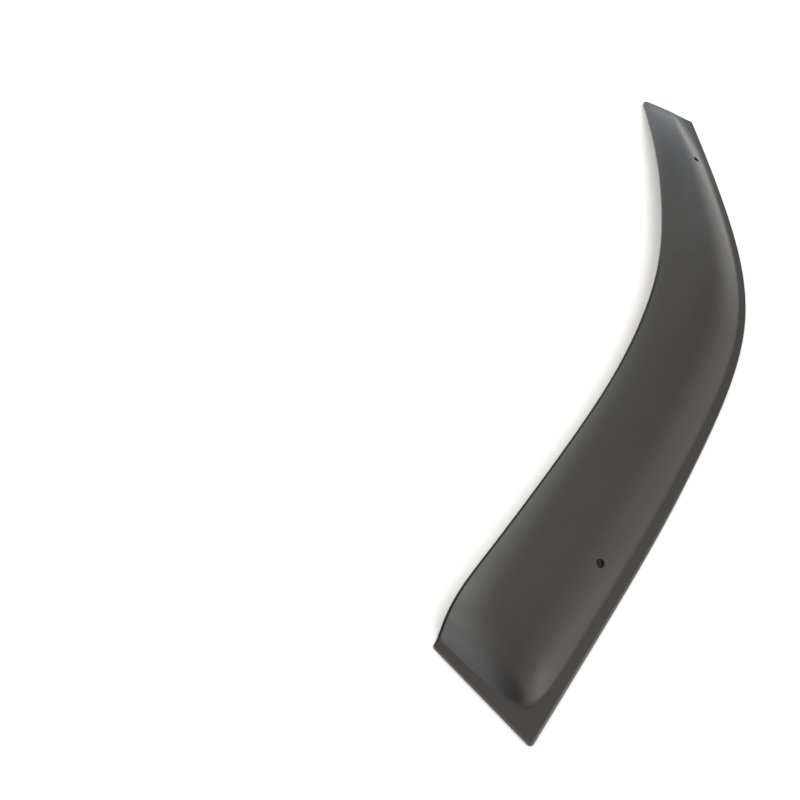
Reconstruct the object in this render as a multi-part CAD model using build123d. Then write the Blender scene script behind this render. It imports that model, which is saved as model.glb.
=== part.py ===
from build123d import *
import os
import numpy as np

# Window rain deflector for a car's front door: one moulded sheet of dark acrylic.
# A flat bonding flange runs along the long convex edge and across the rear end.
# At the front tip the sheet is simply cut off.
# Inside it the visor rises in a soft S, crowns, and ends in a free edge that
# stands clear of the glass.
# Frame: X along the length (wide rear end at +X, narrow front tip at -X),
# Y across, towards the bonded convex edge, Z out from the glass.
# The underside of the flange is Z = 0.

# ------------------------------------------------------------------ dimensions
SHEET = 3.0            # sheet thickness at the flange
SKIN = 3.15            # sheet thickness through the visor
HOLE_D = 8.0           # mounting holes through the visor wall
HOLE_REAR = (299.94, 11.86)
HOLE_FRONT = (-331.69, 11.58)
R_CORNER_REAR_OUT = 3.5    # plan corners of the sheet
R_CORNER_REAR_FREE = 3.0
R_CORNER_TIP_OUT = 3.0
R_CORNER_TIP_FREE = 4.2
R_RIM = 0.8            # rounding of the rim, upper side all round
R_HOLE_RIM = 0.4       # rounding of the holes' upper rims

# long convex edge and free edge in plan
OUTER = [(-427.41, -4.24), (-347.41, 26.5), (-257.41, 58.77), (-157.41, 88.83), (-57.41, 104.28),
         (42.59, 99.02), (142.59, 80.97), (242.59, 57.73), (342.59, 30.19), (460.59, -4.17)]
FREE = [(-453.41, -77.78), (-427.41, -70.02), (-397.41, -61.66), (-357.41, -50.5), (-307.41, -37.23),
        (-207.41, -16.02), (-107.41, -3.7), (-7.41, -6.5), (92.59, -21.71), (192.59, -46.76),
        (292.59, -75.7), (332.59, -88.03), (362.59, -96.89), (387.59, -101.94), (404.59, -104.03)]
# the two straight ends: a point and the direction from the bonded side to the free side
REAR_PT, REAR_DIR = (440.90, -55.19), (-0.4567, -0.8897)
TIP_PT, TIP_DIR = (-447.50, -42.55), (-0.4054, -0.9141)

# flange width along X, up to the middle of the rising fillet
FLANGE_W = [(-456.21, 8.9), (-407.41, 7.2), (-367.41, 6.8), (-307.41, 6.5), (-207.41, 7.0), (-107.41, 7.1), (-7.41, 7.7),
            (92.59, 9.7), (192.59, 11.2), (342.59, 11.3), (483.79, 10.1)]
REAR_W_FREE, REAR_W_OUT = 8.8, 11.2   # end flange, at the free edge and at the corner
# height of the free edge above the flange, by distance from the tip edge
EDGE_H = [(-40.0, 0.3), (0.0, 0.9), (25.0, 4.7), (50.0, 8.2), (83.0, 11.8), (124.0, 14.4), (166.0, 16.0),
          (208.0, 16.9), (250.0, 17.4), (300.0, 17.8), (400.0, 18.6), (500.0, 19.2), (600.0, 19.7), (720.0, 20.1),
          (980.0, 20.1)]
# run-out length of the wall along X, and how sharply it turns over into the visor
RUNOUT = [(-456.21, 12.9), (-407.41, 20.0), (-367.41, 23.0), (-334.21, 25.8), (-257.41, 29.2), (-157.41, 31.0), (-7.41, 38.5),
          (142.59, 33.5), (483.79, 30.4)]
SHARP = [(-440.0, 8.0), (-380.0, 5.4), (-300.0, 3.2), (-150.0, 2.3), (50.0, 2.0), (250.0, 1.5), (440.0, 2.2)]
# how much steeper the wall gets just below its crest near the tip
STEEPEN = [(-440.0, 0.26), (-400.0, 0.2), (-360.0, 0.06), (-320.0, 0.0), (-280.0, 0.0), (440.0, 0.0)]
RUNOUT_END_MID, RUNOUT_END_FREE = 23.8, 18.4
CORNER_P = 2.0         # how tightly the pocket's corner turns
# half width of the concave fillet at the foot of the wall
FILLET = [(-440.0, 4.6), (-390.0, 5.2), (-330.0, 5.6), (-220.0, 5.0), (-120.0, 3.7), (0.0, 3.0), (100.0, 2.8), (440.0, 2.6)]
# fall from the crown to the free edge, as a share of the crown, and how late it comes
DROOP = [(-440.0, 0.42), (-200.0, 0.22), (0.0, 0.325), (200.0, 0.4), (330.0, 0.39), (410.0, 0.335)]
DROOP_N = 3.46


# ------------------------------------------------------------------ shape
def spline(pts):
    """Natural cubic through the points, straight beyond its ends."""
    k = np.array(pts, float)
    xk, yk = k[:, 0], k[:, 1]
    n, h = len(xk), np.diff(k[:, 0])
    a, r = np.eye(n), np.zeros(n)
    for i in range(1, n - 1):
        a[i, i - 1], a[i, i], a[i, i + 1] = h[i - 1], 2 * (h[i - 1] + h[i]), h[i]
        r[i] = 6 * ((yk[i + 1] - yk[i]) / h[i] - (yk[i] - yk[i - 1]) / h[i - 1])
    m = np.linalg.solve(a, r)

    def at(x, slope=False):
        x = np.asarray(x, float)
        c = np.clip(x, xk[0], xk[-1])
        i = np.clip(np.searchsorted(xk, c) - 1, 0, n - 2)
        p, q, w = xk[i + 1] - c, c - xk[i], h[i]
        e, f = yk[i] / w - m[i] * w / 6, yk[i + 1] / w - m[i + 1] * w / 6
        d = -m[i] * p ** 2 / (2 * w) + m[i + 1] * q ** 2 / (2 * w) - e + f
        y = m[i] * p ** 3 / (6 * w) + m[i + 1] * q ** 3 / (6 * w) + e * p + f * q
        return d if slope else y + d * (x - c)
    return at


y_outer, y_free = spline(OUTER), spline(FREE)
flange_w, edge_h, runout = spline(FLANGE_W), spline(EDGE_H), spline(RUNOUT)
sharp, steepen, fillet_w, droop = spline(SHARP), spline(STEEPEN), spline(FILLET), spline(DROOP)


def end_distance(x, y, pt, direction, side):
    """Distance inward from an end line; side is +1 at the tip and -1 at the rear."""
    d = np.array(direction) / np.hypot(*direction)
    n = np.array([-d[1], d[0]])
    n = n * side if n[0] > 0 else -n * side
    return (x - pt[0]) * n[0] + (y - pt[1]) * n[1]


def rise(x, y):
    """Height of the upper surface above the flange."""
    cs = 1 / np.sqrt(1 + y_outer(x, True) ** 2)
    w = flange_w(x)
    d = (y_outer(x) - y) * cs - w
    full = (y_outer(x) - y_free(x)) * cs - w
    r = np.clip(d / full, 0, 1.2)
    e = end_distance(x, y, REAR_PT, REAR_DIR, -1)
    g = end_distance(x, y, TIP_PT, TIP_DIR, 1)
    e = e - (REAR_W_OUT + (REAR_W_FREE - REAR_W_OUT) * r)
    lam_e = RUNOUT_END_MID + (RUNOUT_END_FREE - RUNOUT_END_MID) * r ** 2
    ex = [np.clip(-d / runout(x), -40, 3), np.clip(-e / lam_e, -40, 3)]
    rho = sum(np.exp(CORNER_P * v) for v in ex) ** (1 / CORNER_P)
    u = -np.log(rho)
    c = np.clip(steepen(x), 0, 0.4)
    u = u * (1 + c * np.maximum(u, 0) ** 2) / (1 + c)
    up, m = np.maximum(u, 0), np.clip(sharp(x), 1.2, 9)
    q = np.where(u > 0, up / (1 + up ** m) ** (1 / m), u)
    k = fillet_w(x) / runout(x)
    s = np.clip((q + k) / (2 * k), 0, 1)
    f = np.where(q > k, q, 2 * k * (s ** 3 - s ** 4 / 2))
    return edge_h(g) * f * (1 - droop(x) * r ** DROOP_N) / (1 - droop(x))


def slopes(x, y, h=0.05):
    return (rise(x + h, y) - rise(x - h, y)) / (2 * h), (rise(x, y + h) - rise(x, y - h)) / (2 * h)


def under(x, y):
    """Height of the lower surface: the upper one set off by the sheet's thickness."""
    px, py = x.copy(), y.copy()
    for _ in range(40):
        sx, sy = slopes(px, py)
        w = np.sqrt(1 + sx ** 2 + sy ** 2)
        px, py = x - SKIN * sx / w, y - SKIN * sy / w
    sx, sy = slopes(px, py)
    return SHEET + rise(px, py) - SKIN / np.sqrt(1 + sx ** 2 + sy ** 2)


# ------------------------------------------------------------------ plan outline
def meet(line_pt, line_dir, curve):
    """X where an end line crosses an edge curve."""
    x = line_pt[0]
    for _ in range(60):
        y = float(curve(x))
        x = line_pt[0] + (y - line_pt[1]) * line_dir[0] / line_dir[1]
    return x


def corner(pt, direction, side, curve, below, r):
    """Arc of radius r tangent to an end line and an edge curve: points on line, middle, curve."""
    d = np.array(direction) / np.hypot(*direction)
    n = np.array([-d[1], d[0]])
    n = n * side if n[0] > 0 else -n * side
    x0 = meet(pt, direction, curve)
    best = None
    lo, hi = x0 - 40, x0 + 40
    for _ in range(6):
        xs = np.linspace(lo, hi, 4001)
        m = curve(xs, True)
        sg = -1 if below else 1
        cx, cy = xs - sg * m / np.sqrt(1 + m * m) * r, curve(xs) + sg * r / np.sqrt(1 + m * m)
        err = (cx - pt[0]) * n[0] + (cy - pt[1]) * n[1] - r
        i = int(np.argmin(np.abs(err)))
        lo, hi = xs[max(i - 2, 0)], xs[min(i + 2, 4000)]
        best = (np.array([cx[i], cy[i]]), np.array([xs[i], float(curve(xs[i]))]))
    c, on_curve = best
    on_line = c - n * r
    mid = on_line + on_curve - 2 * c
    return on_line, c + mid / np.hypot(*mid) * r, on_curve


c_out = corner(REAR_PT, REAR_DIR, -1, y_outer, True, R_CORNER_REAR_OUT)
c_free = corner(REAR_PT, REAR_DIR, -1, y_free, False, R_CORNER_REAR_FREE)
b_out = corner(TIP_PT, TIP_DIR, 1, y_outer, True, R_CORNER_TIP_OUT)
a_free = corner(TIP_PT, TIP_DIR, 1, y_free, False, R_CORNER_TIP_FREE)


def edge_points(curve, x0, x1, n=41):
    xs = np.linspace(x0, x1, n)
    return [(float(x), float(y)) for x, y in zip(xs, curve(xs))]


def arc(c, back=False):
    p = [tuple(float(v) for v in q) for q in c]
    return ThreePointArc(*(p[::-1] if back else p))


outline = Wire([
    Spline(*edge_points(y_outer, b_out[2][0], c_out[2][0])),
    arc(c_out, True),
    Line(tuple(map(float, c_out[0])), tuple(map(float, c_free[0]))),
    arc(c_free),
    Spline(*edge_points(y_free, c_free[2][0], a_free[2][0])),
    arc(a_free, True),
    Line(tuple(map(float, a_free[0])), tuple(map(float, b_out[0]))),
    arc(b_out),
])
block = extrude(Face(outline), 40, dir=(0, 0, 1))


# ------------------------------------------------------------------ upper and lower surface
def graded(lo, hi, n, density):
    """n values from lo to hi, closer together where the density is high."""
    t = np.linspace(lo, hi, 4001)
    d = density(t)
    c = np.concatenate([[0], np.cumsum((d[1:] + d[:-1]) / 2)])
    return np.interp(np.linspace(0, c[-1], n), c, t)


def grid(fn, rows=130, cols=50):
    """Rows of points across the sheet, from beyond the tip to beyond the rear end."""
    xb, xc = meet(TIP_PT, TIP_DIR, y_outer), meet(REAR_PT, REAR_DIR, y_outer)
    xa, xd = meet(TIP_PT, TIP_DIR, y_free), meet(REAR_PT, REAR_DIR, y_free)
    u = graded(-0.04, 1.04, rows, lambda t: 1 + 9 * np.exp(-((t - 0.965) / 0.05) ** 2)
               + 4 * np.exp(-((t - 0.01) / 0.06) ** 2))
    v = graded(-0.08, 1.10, cols, lambda t: 1 + 5 * np.exp(-((t - 0.13) / 0.13) ** 2))
    out = []
    for a in u:
        xo, xf = xb + (xc - xb) * a, xa + (xd - xa) * a
        p, q = np.array([xo, float(y_outer(xo))]), np.array([xf, float(y_free(xf))])
        xy = p[None] + v[:, None] * (q - p)[None]
        z = fn(xy[:, 0], xy[:, 1])
        out.append([(float(i), float(j), float(k)) for i, j, k in zip(xy[:, 0], xy[:, 1], z)])
    return out


upper = Face.make_surface_from_array_of_points(grid(lambda x, y: SHEET + rise(x, y)), tol=0.01, min_deg=3, max_deg=3)
lower = Face.make_surface_from_array_of_points(grid(under), tol=0.01, min_deg=3, max_deg=3)

# the sheet is what lies between the two surfaces, inside the outline and above the glass
sheet = min(block.split(upper, keep=Keep.ALL), key=lambda s: s.center().Z)
sheet = max(sheet.split(lower, keep=Keep.ALL), key=lambda s: s.center().Z)


# ------------------------------------------------------------------ rounded rims
def skins(solid):
    """The two large moulded faces, upper first."""
    big = sorted(solid.faces(), key=lambda f: -f.area)[:2]
    return sorted(big, key=lambda f: -f.center().Z)


sheet = sheet.fillet(R_RIM, skins(sheet)[0].outer_wire().edges())


# ------------------------------------------------------------------ holes
def drill(x, y):
    sx, sy = (float(v) for v in slopes(np.array(x), np.array(y)))
    n = Vector(-sx, -sy, 1).normalized()
    top = Vector(x, y, SHEET + float(rise(np.array(x), np.array(y))))
    return Plane(origin=top - n * 9, z_dir=n) * Cylinder(HOLE_D / 2, 15, align=(Align.CENTER, Align.CENTER, Align.MIN))


for xy in (HOLE_REAR, HOLE_FRONT):
    sheet = sheet - drill(*xy)
sheet = max(sheet.solids(), key=lambda s: s.volume)
sheet = sheet.fillet(R_HOLE_RIM, [e for w in skins(sheet)[0].inner_wires() for e in w.edges()])

solids = sheet.solids()
deflector = max(solids, key=lambda s: s.volume)

os.makedirs("parts", exist_ok=True)
export_step(deflector, "parts/rain_deflector.step")
box = deflector.bounding_box()
print("solids", len(solids), "volume", round(deflector.volume, 1), "box", box.min, box.max)
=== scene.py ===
import math

import bpy
import numpy as np
from mathutils import Matrix, Vector


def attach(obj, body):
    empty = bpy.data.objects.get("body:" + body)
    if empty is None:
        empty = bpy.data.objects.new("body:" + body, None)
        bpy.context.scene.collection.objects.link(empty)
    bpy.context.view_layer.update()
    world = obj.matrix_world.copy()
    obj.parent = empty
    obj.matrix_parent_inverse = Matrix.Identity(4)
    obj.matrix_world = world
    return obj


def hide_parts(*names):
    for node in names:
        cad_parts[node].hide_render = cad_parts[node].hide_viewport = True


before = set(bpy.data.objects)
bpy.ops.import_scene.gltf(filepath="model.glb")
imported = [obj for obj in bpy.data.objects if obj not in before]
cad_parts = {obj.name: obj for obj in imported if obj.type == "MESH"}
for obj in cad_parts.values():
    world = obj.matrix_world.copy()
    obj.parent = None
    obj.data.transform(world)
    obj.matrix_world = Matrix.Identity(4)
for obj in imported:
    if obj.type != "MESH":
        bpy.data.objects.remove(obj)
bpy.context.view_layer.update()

# ---------------------------------------------------------------- dimensions, in millimetres
SHEET, SKIN = 3.0, 3.15
HOLE_D = 8.0
HOLES = [(299.94, 11.86), (-331.69, 11.58)]
R_CORNER = {"rear_out": 3.5, "rear_free": 3.0, "tip_out": 3.0, "tip_free": 4.2}
R_RIM = {"out": 0.6, "out_rear": 1.4, "rear": 0.9, "free": 2.4, "free_front": 1.2, "tip": 0.6}
R_UNDER = 0.45
HOLE_RIM = [(0.10, 0.02), (0.28, 0.13), (0.55, 0.33), (0.80, 0.52), (0.90, 0.66), (0.90, 0.90)]
HOLE_RIM_UNDER = [(0.08, 0.01), (0.15, 0.05), (0.20, 0.10), (0.24, 0.17), (0.25, 0.25), (0.25, 0.40)]

OUTER = [(-427.41, -4.24), (-347.41, 26.5), (-257.41, 58.77), (-157.41, 88.83), (-57.41, 104.28),
         (42.59, 99.02), (142.59, 80.97), (242.59, 57.73), (342.59, 30.19), (460.59, -4.17)]
FREE = [(-453.41, -77.78), (-427.41, -70.02), (-397.41, -61.66), (-357.41, -50.5), (-307.41, -37.23),
        (-207.41, -16.02), (-107.41, -3.7), (-7.41, -6.5), (92.59, -21.71), (192.59, -46.76),
        (292.59, -75.7), (332.59, -88.03), (362.59, -96.89), (387.59, -101.94), (404.59, -104.03)]
REAR_PT, REAR_DIR = (440.90, -55.19), (-0.4567, -0.8897)
TIP_PT, TIP_DIR = (-447.50, -42.55), (-0.4054, -0.9141)
FLANGE_W = [(-456.21, 8.9), (-407.41, 7.2), (-367.41, 6.8), (-307.41, 6.5), (-207.41, 7.0), (-107.41, 7.1), (-7.41, 7.7),
            (92.59, 9.7), (192.59, 11.2), (342.59, 11.3), (483.79, 10.1)]
REAR_W_FREE, REAR_W_OUT = 8.8, 11.2
EDGE_H = [(-40.0, 0.3), (0.0, 0.9), (25.0, 4.7), (50.0, 8.2), (83.0, 11.8), (124.0, 14.4), (166.0, 16.0),
          (208.0, 16.9), (250.0, 17.4), (300.0, 17.8), (400.0, 18.6), (500.0, 19.2), (600.0, 19.7), (720.0, 20.1),
          (980.0, 20.1)]
RUNOUT = [(-456.21, 12.9), (-407.41, 20.0), (-367.41, 23.0), (-334.21, 25.8), (-257.41, 29.2), (-157.41, 31.0), (-7.41, 38.5),
          (142.59, 33.5), (483.79, 30.4)]
SHARP = [(-440.0, 8.0), (-380.0, 5.4), (-300.0, 3.2), (-150.0, 2.3), (50.0, 2.0), (250.0, 1.5), (440.0, 2.2)]
STEEPEN = [(-440.0, 0.26), (-400.0, 0.2), (-360.0, 0.06), (-320.0, 0.0), (-280.0, 0.0), (440.0, 0.0)]
RUNOUT_END_MID, RUNOUT_END_FREE = 23.8, 18.4
CORNER_P = 2.0
FILLET = [(-440.0, 4.6), (-390.0, 5.2), (-330.0, 5.6), (-220.0, 5.0), (-120.0, 3.7), (0.0, 3.0), (100.0, 2.8), (440.0, 2.6)]
DROOP = [(-440.0, 0.42), (-200.0, 0.22), (0.0, 0.325), (200.0, 0.4), (330.0, 0.39), (410.0, 0.335)]
DROOP_N = 3.46


# ---------------------------------------------------------------- the sheet's two surfaces
def spline(pts):
    """Natural cubic through the points, straight beyond its ends."""
    k = np.array(pts, float)
    xk, yk = k[:, 0], k[:, 1]
    n, h = len(xk), np.diff(k[:, 0])
    a, r = np.eye(n), np.zeros(n)
    for i in range(1, n - 1):
        a[i, i - 1], a[i, i], a[i, i + 1] = h[i - 1], 2 * (h[i - 1] + h[i]), h[i]
        r[i] = 6 * ((yk[i + 1] - yk[i]) / h[i] - (yk[i] - yk[i - 1]) / h[i - 1])
    m = np.linalg.solve(a, r)

    def at(x, slope=False):
        x = np.asarray(x, float)
        c = np.clip(x, xk[0], xk[-1])
        i = np.clip(np.searchsorted(xk, c) - 1, 0, n - 2)
        p, q, w = xk[i + 1] - c, c - xk[i], h[i]
        e, f = yk[i] / w - m[i] * w / 6, yk[i + 1] / w - m[i + 1] * w / 6
        d = -m[i] * p ** 2 / (2 * w) + m[i + 1] * q ** 2 / (2 * w) - e + f
        y = m[i] * p ** 3 / (6 * w) + m[i + 1] * q ** 3 / (6 * w) + e * p + f * q
        return d if slope else y + d * (x - c)
    return at


y_outer, y_free = spline(OUTER), spline(FREE)
flange_w, edge_h, runout = spline(FLANGE_W), spline(EDGE_H), spline(RUNOUT)
sharp, steepen, fillet_w, droop = spline(SHARP), spline(STEEPEN), spline(FILLET), spline(DROOP)


def inward(direction, side):
    d = np.array(direction) / np.hypot(*direction)
    n = np.array([-d[1], d[0]])
    return n * side if n[0] > 0 else -n * side


N_REAR, N_TIP = inward(REAR_DIR, -1), inward(TIP_DIR, 1)


def end_distance(x, y, pt, n):
    return (x - pt[0]) * n[0] + (y - pt[1]) * n[1]


def rise(x, y):
    """Height of the upper surface above the flange."""
    cs = 1 / np.sqrt(1 + y_outer(x, True) ** 2)
    w = flange_w(x)
    d = (y_outer(x) - y) * cs - w
    full = (y_outer(x) - y_free(x)) * cs - w
    r = np.clip(d / full, 0, 1.2)
    e = end_distance(x, y, REAR_PT, N_REAR)
    g = end_distance(x, y, TIP_PT, N_TIP)
    e = e - (REAR_W_OUT + (REAR_W_FREE - REAR_W_OUT) * r)
    lam_e = RUNOUT_END_MID + (RUNOUT_END_FREE - RUNOUT_END_MID) * r ** 2
    ex = [np.clip(-d / runout(x), -40, 3), np.clip(-e / lam_e, -40, 3)]
    rho = sum(np.exp(CORNER_P * v) for v in ex) ** (1 / CORNER_P)
    u = -np.log(rho)
    c = np.clip(steepen(x), 0, 0.4)
    u = u * (1 + c * np.maximum(u, 0) ** 2) / (1 + c)
    up, m = np.maximum(u, 0), np.clip(sharp(x), 1.2, 9)
    q = np.where(u > 0, up / (1 + up ** m) ** (1 / m), u)
    k = fillet_w(x) / runout(x)
    s = np.clip((q + k) / (2 * k), 0, 1)
    f = np.where(q > k, q, 2 * k * (s ** 3 - s ** 4 / 2))
    return edge_h(g) * f * (1 - droop(x) * r ** DROOP_N) / (1 - droop(x))


def slopes(x, y, h=0.05):
    return (rise(x + h, y) - rise(x - h, y)) / (2 * h), (rise(x, y + h) - rise(x, y - h)) / (2 * h)


def top_z(x, y):
    return SHEET + rise(x, y)


def low_z(x, y):
    """The upper surface set off by the sheet's thickness, and flat on the glass under the flange."""
    px, py = x.copy(), y.copy()
    for _ in range(12):
        sx, sy = slopes(px, py)
        w = np.sqrt(1 + sx ** 2 + sy ** 2)
        px, py = x - SKIN * sx / w, y - SKIN * sy / w
    sx, sy = slopes(px, py)
    z = SHEET + rise(px, py) - SKIN / np.sqrt(1 + sx ** 2 + sy ** 2)
    return 0.5 * (z + np.sqrt(z ** 2 + 0.04 ** 2)) - 0.002


# ---------------------------------------------------------------- plan outline, with rounded corners
def meet(pt, direction, curve):
    x = pt[0]
    for _ in range(60):
        x = pt[0] + (float(curve(x)) - pt[1]) * direction[0] / direction[1]
    return x


def corner(pt, direction, n, curve, below, r):
    """Arc tangent to an end line and an edge curve: its centre, its point on the line and on the curve."""
    x0 = meet(pt, direction, curve)
    lo, hi = x0 - 40, x0 + 40
    sg = -1 if below else 1
    for _ in range(6):
        xs = np.linspace(lo, hi, 4001)
        m = curve(xs, True)
        cx, cy = xs - sg * m / np.sqrt(1 + m * m) * r, curve(xs) + sg * r / np.sqrt(1 + m * m)
        i = int(np.argmin(np.abs((cx - pt[0]) * n[0] + (cy - pt[1]) * n[1] - r)))
        lo, hi = xs[max(i - 2, 0)], xs[min(i + 2, 4000)]
        c, on_curve = np.array([cx[i], cy[i]]), np.array([xs[i], float(curve(xs[i]))])
    return c, c - n * r, on_curve


def arc_points(c, a, b, n=60):
    """Points on the short arc about c from a to b, as two halves."""
    u, v = a - c, b - c
    r = np.hypot(*u)
    t0 = math.atan2(u[1], u[0])
    dt = (math.atan2(v[1], v[0]) - t0 + math.pi) % (2 * math.pi) - math.pi
    t = t0 + dt * np.linspace(0, 1, n)
    p = c + r * np.c_[np.cos(t), np.sin(t)]
    return p[:n // 2 + 1], p[n // 2:]


def curve_points(curve, x0, x1, n=3000):
    xs = np.linspace(x0, x1, n)
    return np.c_[xs, curve(xs)]


cr_out = corner(REAR_PT, REAR_DIR, N_REAR, y_outer, True, R_CORNER["rear_out"])
cr_free = corner(REAR_PT, REAR_DIR, N_REAR, y_free, False, R_CORNER["rear_free"])
ct_out = corner(TIP_PT, TIP_DIR, N_TIP, y_outer, True, R_CORNER["tip_out"])
ct_free = corner(TIP_PT, TIP_DIR, N_TIP, y_free, False, R_CORNER["tip_free"])
h1 = arc_points(ct_out[0], ct_out[1], ct_out[2])
h2 = arc_points(cr_out[0], cr_out[2], cr_out[1])
h3 = arc_points(cr_free[0], cr_free[1], cr_free[2])
h4 = arc_points(ct_free[0], ct_free[2], ct_free[1])
# four sides, each from the middle of one corner to the middle of the next, clockwise from above
side_out = np.vstack([h1[1], curve_points(y_outer, ct_out[2][0], cr_out[2][0])[1:-1], h2[0]])
side_rear = np.vstack([h2[1], np.linspace(cr_out[1], cr_free[1], 600)[1:-1], h3[0]])
side_free = np.vstack([h3[1], curve_points(y_free, cr_free[2][0], ct_free[2][0])[1:-1], h4[0]])
side_tip = np.vstack([h4[1], np.linspace(ct_free[1], ct_out[1], 600)[1:-1], h1[0]])


def walk(points, fractions):
    s = np.concatenate([[0], np.cumsum(np.hypot(*np.diff(points, axis=0).T))])
    return np.c_[np.interp(fractions * s[-1], s, points[:, 0]), np.interp(fractions * s[-1], s, points[:, 1])]


# ---------------------------------------------------------------- inner grid
INSET = 7.0


def graded(n, density):
    t = np.linspace(0, 1, 20001)
    d = density(t)
    c = np.concatenate([[0], np.cumsum((d[1:] + d[:-1]) / 2)])
    return np.interp(np.linspace(0, c[-1], n + 1), c, t)


def offset_outer(x):
    m = y_outer(x, True)
    w = np.sqrt(1 + m * m)
    return np.stack([x + INSET * m / w, y_outer(x) - INSET / w], -1)


def offset_free(x):
    m = y_free(x, True)
    w = np.sqrt(1 + m * m)
    return np.stack([x - INSET * m / w, y_free(x) + INSET / w], -1)


def where_inset(fn, pt, n, lo, hi):
    for _ in range(80):
        mid = (lo + hi) / 2
        p = fn(np.array(mid))
        if (end_distance(p[0], p[1], pt, n) - INSET) * n[0] < 0:
            lo = mid
        else:
            hi = mid
    return (lo + hi) / 2


xo0, xo1 = where_inset(offset_outer, TIP_PT, N_TIP, -470, -380), where_inset(offset_outer, REAR_PT, N_REAR, 400, 480)
xf0, xf1 = where_inset(offset_free, TIP_PT, N_TIP, -490, -400), where_inset(offset_free, REAR_PT, N_REAR, 350, 440)

hole_u = [(hx - (xo0 + (xf0 - xo0) * 0.2)) / (xo1 + (xf1 - xo1) * 0.2 - xo0 - (xf0 - xo0) * 0.2) for hx, _ in HOLES]
U = graded(336, lambda t: 1 + 3.4 * np.exp(-t / 0.006) + 3.4 * np.exp(-(1 - t) / 0.006) + 0.9 * np.exp(-((t - 0.955) / 0.045) ** 2)
           + 0.8 * np.exp(-((t - 0.02) / 0.05) ** 2)
           + sum(1.3 * np.exp(-((t - h) / 0.012) ** 4) for h in hole_u))
V = graded(76, lambda t: 1 + 2.0 * np.exp(-t / 0.02) + 2.6 * np.exp(-(1 - t) / 0.02) + 1.1 * np.exp(-((t - 0.14) / 0.16) ** 2))
NU, NV = len(U) - 1, len(V) - 1
p_in, q_in = offset_outer(xo0 + (xo1 - xo0) * U), offset_free(xf0 + (xf1 - xf0) * U)
inner = p_in[:, None] + V[None, :, None] * (q_in - p_in)[:, None]      # (NU+1, NV+1, 2)

# the ring of grid points round the inner grid, in the order of the four sides
ring_ij = ([(i, 0) for i in range(NU)] + [(NU, j) for j in range(NV)]
           + [(i, NV) for i in range(NU, 0, -1)] + [(0, j) for j in range(NV, 0, -1)])
ring_in = np.array([inner[i, j] for i, j in ring_ij])
NR = len(ring_ij)


def fractions(points):
    s = np.concatenate([[0], np.cumsum(np.hypot(*np.diff(points, axis=0).T))])
    return s / s[-1]


ring_out = np.vstack([walk(side_out, fractions(inner[:, 0]))[:-1], walk(side_rear, fractions(inner[NU, :]))[:-1],
                      walk(side_free, fractions(inner[::-1, NV]))[:-1], walk(side_tip, fractions(inner[0, ::-1]))[:-1]])
dense = np.vstack([side_out[:-1], side_rear[:-1], side_free[:-1], side_tip[:-1]])
tang = np.roll(dense, -1, 0) - np.roll(dense, 1, 0)
near = np.array([int(np.argmin(((dense - p) ** 2).sum(1))) for p in ring_out])
tang = tang[near] / np.hypot(*tang[near].T)[:, None]
ring_n = np.c_[tang[:, 1], -tang[:, 0]]
# rounding of the upper rim along the ring, changing gently from side to side
rim_r = np.concatenate([np.interp(ring_out[:NU, 0], [-80, 120], [R_RIM["out"], R_RIM["out_rear"]]), np.full(NV, R_RIM["rear"]), np.interp(ring_out[NU + NV:2 * NU + NV, 0], [-180, -40], [R_RIM["free_front"], R_RIM["free"]]), np.full(NV, R_RIM["tip"])])
# how matt the cut edge is along the ring: most along the free edge, least near its front
cut_free = np.interp(ring_out[NU + NV:2 * NU + NV, 0], [-300, -160, -60, 420], [0.45, 0.5, 1.0, 1.0])
cut_out = np.interp(ring_out[:NU, 0], [-80, 60], [0.45, 0.0])
rim_m = np.concatenate([cut_out, np.full(NV, 0.2), cut_free, np.full(NV, 0.6)])
# and how pale it is: painted highlight, a paler base colour along the rear of the bonded edge and the rear end that
# stands in for the thin bright line of light along those rims
rim_painted_highlight = np.concatenate([np.interp(ring_out[:NU, 0], [60, 420], [0.0, 1.0]), np.full(NV, 0.4), np.zeros(NU), np.zeros(NV)])
for _ in range(60):
    rim_r = (np.roll(rim_r, 1) + 2 * rim_r + np.roll(rim_r, -1)) / 4
    rim_m = (np.roll(rim_m, 1) + 2 * rim_m + np.roll(rim_m, -1)) / 4
    rim_painted_highlight = (np.roll(rim_painted_highlight, 1) + 2 * rim_painted_highlight + np.roll(rim_painted_highlight, -1)) / 4

# ---------------------------------------------------------------- mesh
verts, faces, cut_edge, painted_rim_highlight = [], [], [], []


# matt is each point's share of matt cut edge, pale its share of painted rim highlight
def add(xyz, matt=0.0, pale=0.0):
    k = len(verts)
    verts.extend(map(tuple, np.asarray(xyz, float)))
    cut_edge.extend(np.broadcast_to(matt, len(verts) - k).tolist())
    painted_rim_highlight.extend(np.broadcast_to(pale, len(verts) - k).tolist())
    return np.arange(k, len(verts))


def bridge(a, b, closed=True):
    n = len(a)
    for k in range(n if closed else n - 1):
        faces.append((int(a[k]), int(a[(k + 1) % n]), int(b[(k + 1) % n]), int(b[k])))


def with_z(xy, fn):
    return np.c_[xy, fn(xy[:, 0], xy[:, 1])]


def hole_rings(hx, hy, fn, sign, loop3, radius, rim):
    """The centre of a hole on the upper surface, the surface normal there and two axes across the surface."""
    sx, sy = (float(v) for v in slopes(np.array(hx), np.array(hy)))
    n = np.array([-sx, -sy, 1.0])
    n /= np.linalg.norm(n)
    c = np.array([hx, hy, float(top_z(np.array(hx), np.array(hy)))])
    e1 = np.cross([0, 1.0, 0], n)
    e1 /= np.linalg.norm(e1)
    e2 = np.cross(n, e1)
    return c, n, e1, e2


def to_surface(p, n, fn):
    """Moves points along n onto a surface z = fn(x, y)."""
    t = np.zeros(len(p))
    for _ in range(30):
        q = p + t[:, None] * n
        t -= (q[:, 2] - fn(q[:, 0], q[:, 1])) / (n[2] + 1e-9)
    return p + t[:, None] * n


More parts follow.
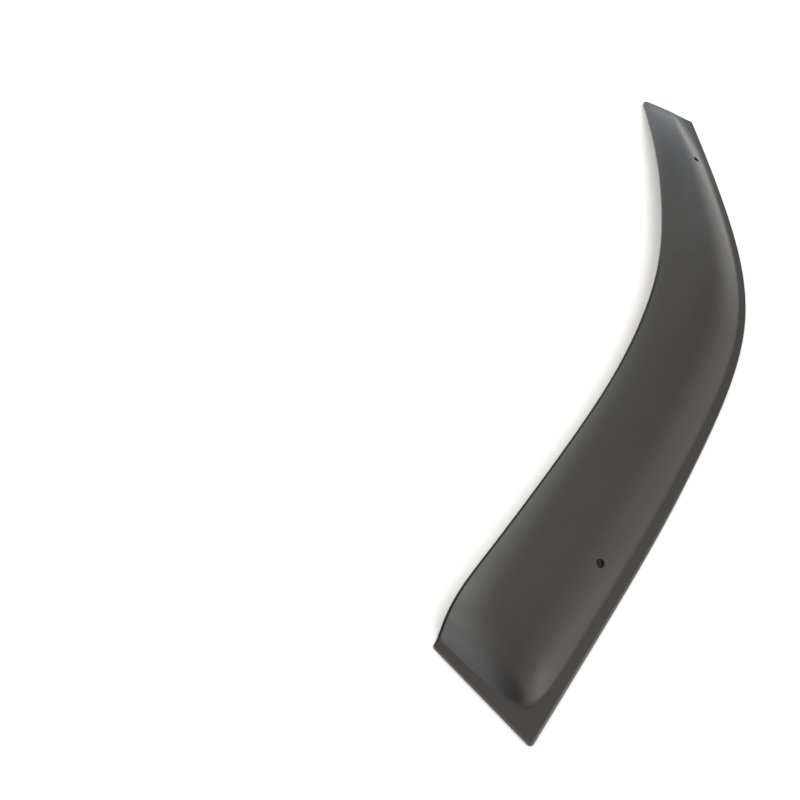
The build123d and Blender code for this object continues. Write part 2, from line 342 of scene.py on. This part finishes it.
hole_patches = []
for hx, hy in HOLES:
    d2 = ((inner - np.array([hx, hy])) ** 2).sum(-1)
    i, j = np.unravel_index(int(np.argmin(d2)), d2.shape)
    di = dj = 1
    while np.hypot(*(inner[i + di, j] - inner[i, j])) < 8.0:
        di += 1
    while np.hypot(*(inner[i, j + dj] - inner[i, j])) < 8.0:
        dj += 1
    hole_patches.append((i - di, i + di, j - dj, j + dj))


def skin(fn, rim, flip):
    """One side of the sheet: rounded rim, band, grid and the surface round each hole. Returns its outermost ring and hole rings."""
    first = len(faces)
    rings = []
    for a in np.radians([0, 15, 32, 50, 70, 90]):
        xy = ring_out + (rim * (1 - math.cos(a)))[:, None] * ring_n
        dz = rim * (1 - math.sin(a))
        p = with_z(xy, fn)
        p[:, 2] += dz if flip else -dz
        rings.append(add(p, rim_m, rim_painted_highlight))
    edge = ring_out + (rim + 0.25)[:, None] * ring_n
    for t, share in ((0.0, 0.9), (0.05, 0.4), (0.13, 0), (0.24, 0), (0.38, 0), (0.55, 0), (0.76, 0)):
        rings.append(add(with_z(edge + t * (ring_in - edge), fn), share * rim_m, share * rim_painted_highlight))
    gz = fn(inner[..., 0].ravel(), inner[..., 1].ravel())
    keep = np.ones((NU + 1, NV + 1), bool)
    for i0, i1, j0, j1 in hole_patches:
        keep[i0 + 1:i1, j0 + 1:j1] = False
    idx = np.full((NU + 1, NV + 1), -1)
    idx[keep] = add(np.c_[inner.reshape(-1, 2), gz][keep.ravel()])
    rings.append(np.array([idx[i, j] for i, j in ring_ij]))
    for a, b in zip(rings[:-1], rings[1:]):
        bridge(a, b)
    cut = np.zeros((NU, NV), bool)
    for i0, i1, j0, j1 in hole_patches:
        cut[i0:i1, j0:j1] = True
    for i in range(NU):
        for j in range(NV):
            if not cut[i, j]:
                faces.append((int(idx[i, j]), int(idx[i + 1, j]), int(idx[i + 1, j + 1]), int(idx[i, j + 1])))
    mouths = []
    for (hx, hy), (i0, i1, j0, j1) in zip(HOLES, hole_patches):
        loop = ([(i, j0) for i in range(i0, i1)] + [(i1, j) for j in range(j0, j1)]
                + [(i, j1) for i in range(i1, i0, -1)] + [(i0, j) for j in range(j1, j0, -1)])
        lid = np.array([idx[i, j] for i, j in loop])
        lp = np.array([verts[k] for k in lid])
        c, n, e1, e2 = hole_rings(hx, hy, fn, 0, lp, 0, 0)
        tp = np.c_[lp[:, :2], top_z(lp[:, 0], lp[:, 1])]
        al = np.arctan2((tp - c) @ e2, (tp - c) @ e1)
        rim_h = HOLE_RIM_UNDER if flip else HOLE_RIM
        rho = HOLE_D / 2 + rim_h[-1][0]
        radial = np.cos(al)[:, None] * e1 + np.sin(al)[:, None] * e2
        mouth = to_surface(c + rho * radial, n, fn)
        prev = lid
        for t in (0.72, 0.48, 0.29, 0.15, 0.06, 0.0):
            xy = mouth[:, :2] + t * (lp[:, :2] - mouth[:, :2])
            ring = add(with_z(xy, fn) if t else mouth)
            bridge(prev, ring)
            prev = ring
        down = n if flip else -n
        for step, (inset, drop) in enumerate(rim_h):
            ring = add(mouth - inset * radial + drop * down, 1.0 if step > 3 else 0.0)
            bridge(prev, ring)
            prev = ring
        mouths.append(prev)
    if flip:
        faces[first:] = [f[::-1] for f in faces[first:]]
    return rings[0], mouths


top_ring, top_mouths = skin(top_z, rim_r, False)
low_ring, low_mouths = skin(low_z, np.full(NR, R_UNDER), True)
bridge(low_ring, top_ring)
for a, b in zip(top_mouths, low_mouths):
    bridge(a, b)

mesh = bpy.data.meshes.new("rain_deflector_sheet")
mesh.from_pydata([(x / 1000, y / 1000, z / 1000) for x, y, z in verts], [], faces)
mesh.validate()
mesh.attributes.new("cut_edge", "FLOAT", "POINT").data.foreach_set("value", cut_edge)
# the second attribute is the painted rim highlight mask
mesh.attributes.new("painted_rim_highlight", "FLOAT", "POINT").data.foreach_set("value", painted_rim_highlight)
import bmesh
bm = bmesh.new()
bm.from_mesh(mesh)
bmesh.ops.recalc_face_normals(bm, faces=bm.faces)
bm.to_mesh(mesh)
bm.free()
mesh.shade_smooth()
sheet = bpy.data.objects.new("deflector_sheet", mesh)
bpy.context.scene.collection.objects.link(sheet)
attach(sheet, "root")
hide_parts("rain_deflector")


# ---------------------------------------------------------------- materials
def node(tree, kind, **values):
    n = tree.nodes.new(kind)
    for k, v in values.items():
        setattr(n, k, v)
    return n


acrylic = bpy.data.materials.new("smoked_acrylic")
acrylic.use_nodes = True
nt = acrylic.node_tree
bsdf = nt.nodes["Principled BSDF"]
bsdf.inputs["IOR"].default_value = 1.49
bsdf.inputs["Metallic"].default_value = 0.0
coord = node(nt, "ShaderNodeTexCoord")
cloud = node(nt, "ShaderNodeTexNoise")
cloud.inputs["Scale"].default_value = 14.0
cloud.inputs["Detail"].default_value = 3.0
nt.links.new(coord.outputs["Object"], cloud.inputs["Vector"])
tint = node(nt, "ShaderNodeValToRGB")
tint.color_ramp.elements[0].position, tint.color_ramp.elements[1].position = 0.3, 0.7
tint.color_ramp.elements[0].color = (0.0076, 0.0073, 0.0071, 1)
tint.color_ramp.elements[1].color = (0.0090, 0.0087, 0.0085, 1)
nt.links.new(cloud.outputs["Fac"], tint.inputs["Fac"])
# painted highlight: the masked rims get a paler base colour, standing in for the bright line of light along them
painted_highlight_attr = node(nt, "ShaderNodeAttribute", attribute_name="painted_rim_highlight")
pale_mix = node(nt, "ShaderNodeMix", data_type="RGBA")
pale_mix.inputs["B"].default_value = (0.050, 0.050, 0.051, 1)
nt.links.new(painted_highlight_attr.outputs["Fac"], pale_mix.inputs["Factor"])
nt.links.new(tint.outputs["Color"], pale_mix.inputs["A"])
nt.links.new(pale_mix.outputs["Result"], bsdf.inputs["Base Color"])
haze = node(nt, "ShaderNodeTexNoise")
haze.inputs["Scale"].default_value = 60.0
haze.inputs["Detail"].default_value = 4.0
nt.links.new(coord.outputs["Object"], haze.inputs["Vector"])
rough = node(nt, "ShaderNodeMapRange")
rough.inputs["From Min"].default_value, rough.inputs["From Max"].default_value = 0.3, 0.7
rough.inputs["To Min"].default_value, rough.inputs["To Max"].default_value = 0.12, 0.16
nt.links.new(haze.outputs["Fac"], rough.inputs["Value"])
# the cut edge is matt where the moulded faces are glossy
edge_mask = node(nt, "ShaderNodeAttribute", attribute_name="cut_edge")
matt = node(nt, "ShaderNodeMapRange")
matt.inputs["To Max"].default_value = 0.55
nt.links.new(edge_mask.outputs["Fac"], matt.inputs["Value"])
nt.links.new(rough.outputs["Result"], matt.inputs["To Min"])
nt.links.new(matt.outputs["Result"], bsdf.inputs["Roughness"])
dull = node(nt, "ShaderNodeMapRange")
dull.inputs["To Min"].default_value, dull.inputs["To Max"].default_value = 0.5, 0.1
nt.links.new(edge_mask.outputs["Fac"], dull.inputs["Value"])
nt.links.new(dull.outputs["Result"], bsdf.inputs["Specular IOR Level"])
sheet.data.materials.append(acrylic)

# ---------------------------------------------------------------- floor
me = bpy.data.meshes.new("floor")
me.from_pydata([(-30, -30, 0), (30, -30, 0), (30, 30, 0), (-30, 30, 0)], [], [(0, 1, 2, 3)])
floor = bpy.data.objects.new("floor", me)
bpy.context.scene.collection.objects.link(floor)
pale = bpy.data.materials.new("pale_floor")
pale.use_nodes = True
pb = pale.node_tree.nodes["Principled BSDF"]
pb.inputs["Base Color"].default_value = (0.60, 0.60, 0.60, 1)
pb.inputs["Roughness"].default_value = 0.9
pb.inputs["Specular IOR Level"].default_value = 0.1
floor.data.materials.append(pale)

# ---------------------------------------------------------------- soft studio light: a pale room with wide soft sources
LIGHT_BASE = (0.3, 0.3, 0.3)
LIGHT_LOBES = [
    # azimuth, elevation, sharpness, colour
    (156, 7, 17.5, (0.41, 0.41, 0.41)),
    (174, 27, 60.0, (0.28, 0.30, 0.34)),
    (96, -8, 18.0, (1.07, 1.07, 1.08)),
    (120, 4, 18.0, (0.60, 0.59, 0.50)),
    (144, 4, 18.0, (0.41, 0.41, 0.38)),
    (180, 4, 18.0, (0.44, 0.47, 0.56)),
    (312, 4, 18.0, (1.69, 1.69, 1.70)),
    (72, 16, 18.0, (1.66, 1.68, 1.77)),
    (84, 16, 18.0, (1.22, 1.16, 1.03)),
    (192, 16, 18.0, (0.33, 0.37, 0.44)),
    (216, 16, 18.0, (2.25, 2.31, 2.28)),
    (312, 16, 18.0, (0.69, 0.71, 0.79)),
    (48, 28, 18.0, (1.35, 1.31, 1.22)),
    (120, 28, 18.0, (0.67, 0.63, 0.52)),
    (312, 28, 18.0, (0.76, 0.76, 0.76)),
    (108, 40, 18.0, (0.54, 0.52, 0.45)),
    (180, 40, 18.0, (0.24, 0.23, 0.21)),
    (240, 40, 18.0, (2.88, 2.92, 2.82)),
    (288, 40, 18.0, (2.48, 2.50, 2.48)),
    (336, 40, 18.0, (0.39, 0.38, 0.36)),
    (12, 54, 18.0, (0.46, 0.43, 0.35)),
    (48, 54, 18.0, (0.49, 0.46, 0.40)),
    (84, 54, 18.0, (0.55, 0.51, 0.42)),
    (144, 54, 18.0, (0.50, 0.46, 0.38)),
    (192, 54, 18.0, (0.38, 0.36, 0.33)),
    (264, 54, 18.0, (0.89, 0.88, 0.85)),
    (132, 70, 18.0, (0.31, 0.30, 0.27)),
    (192, 70, 18.0, (0.42, 0.39, 0.35)),
    (324, 70, 18.0, (0.59, 0.58, 0.54)),
    (264, 88, 18.0, (0.34, 0.32, 0.27)),
]
world = bpy.data.worlds.new("studio")
bpy.context.scene.world = world
world.use_nodes = True
wt = world.node_tree
bg = wt.nodes["Background"]
wc = node(wt, "ShaderNodeTexCoord")
total = node(wt, "ShaderNodeVectorMath", operation="ADD")
total.inputs[0].default_value = LIGHT_BASE
total.inputs[1].default_value = (0, 0, 0)
for az, el, k, colour in LIGHT_LOBES:
    a, e = math.radians(az), math.radians(el)
    dot = node(wt, "ShaderNodeVectorMath", operation="DOT_PRODUCT")
    dot.inputs[1].default_value = (math.cos(e) * math.cos(a), math.cos(e) * math.sin(a), math.sin(e))
    wt.links.new(wc.outputs["Generated"], dot.inputs[0])
    fall = node(wt, "ShaderNodeMath", operation="MULTIPLY_ADD")
    fall.inputs[1].default_value, fall.inputs[2].default_value = k, -k
    wt.links.new(dot.outputs["Value"], fall.inputs[0])
    ex = node(wt, "ShaderNodeMath", operation="EXPONENT")
    wt.links.new(fall.outputs[0], ex.inputs[0])
    tintv = node(wt, "ShaderNodeVectorMath", operation="SCALE")
    tintv.inputs[0].default_value = colour
    wt.links.new(ex.outputs[0], tintv.inputs["Scale"])
    plus = node(wt, "ShaderNodeVectorMath", operation="ADD")
    wt.links.new(total.outputs[0], plus.inputs[0])
    wt.links.new(tintv.outputs[0], plus.inputs[1])
    total = plus
wt.links.new(total.outputs[0], bg.inputs["Color"])
bg.inputs["Strength"].default_value = 1.0

# a broad key light from the bonded side, which lays the soft shadow under the free edge
key = bpy.data.lights.new("key", "SUN")
key.energy = 2.4
key.angle = math.radians(50)
key_obj = bpy.data.objects.new("key", key)
bpy.context.scene.collection.objects.link(key_obj)
ka, ke = math.radians(124), math.radians(48)
towards = Vector((math.cos(ke) * math.cos(ka), math.cos(ke) * math.sin(ka), math.sin(ke)))
key_obj.rotation_euler = towards.to_track_quat("Z", "Y").to_euler()
key_obj.visible_glossy = False

# ---------------------------------------------------------------- camera
cam = bpy.data.cameras.new("camera")
cam.sensor_width = 36.0
cam.lens = 35.9445
cam.clip_start, cam.clip_end = 0.01, 100
cam_obj = bpy.data.objects.new("camera", cam)
bpy.context.scene.collection.objects.link(cam_obj)
right = Vector((-0.347795, 0.937165, -0.027565))
down = Vector((0.745568, 0.258625, -0.614200))
ahead = Vector((-0.568478, -0.234167, -0.788669))
m = Matrix((right, -down, -ahead)).transposed().to_4x4()
m.translation = Vector((0.654759, -0.026395, 0.667790))
cam_obj.matrix_world = m
bpy.context.scene.camera = cam_obj
bpy.context.scene.view_settings.view_transform = "Standard"
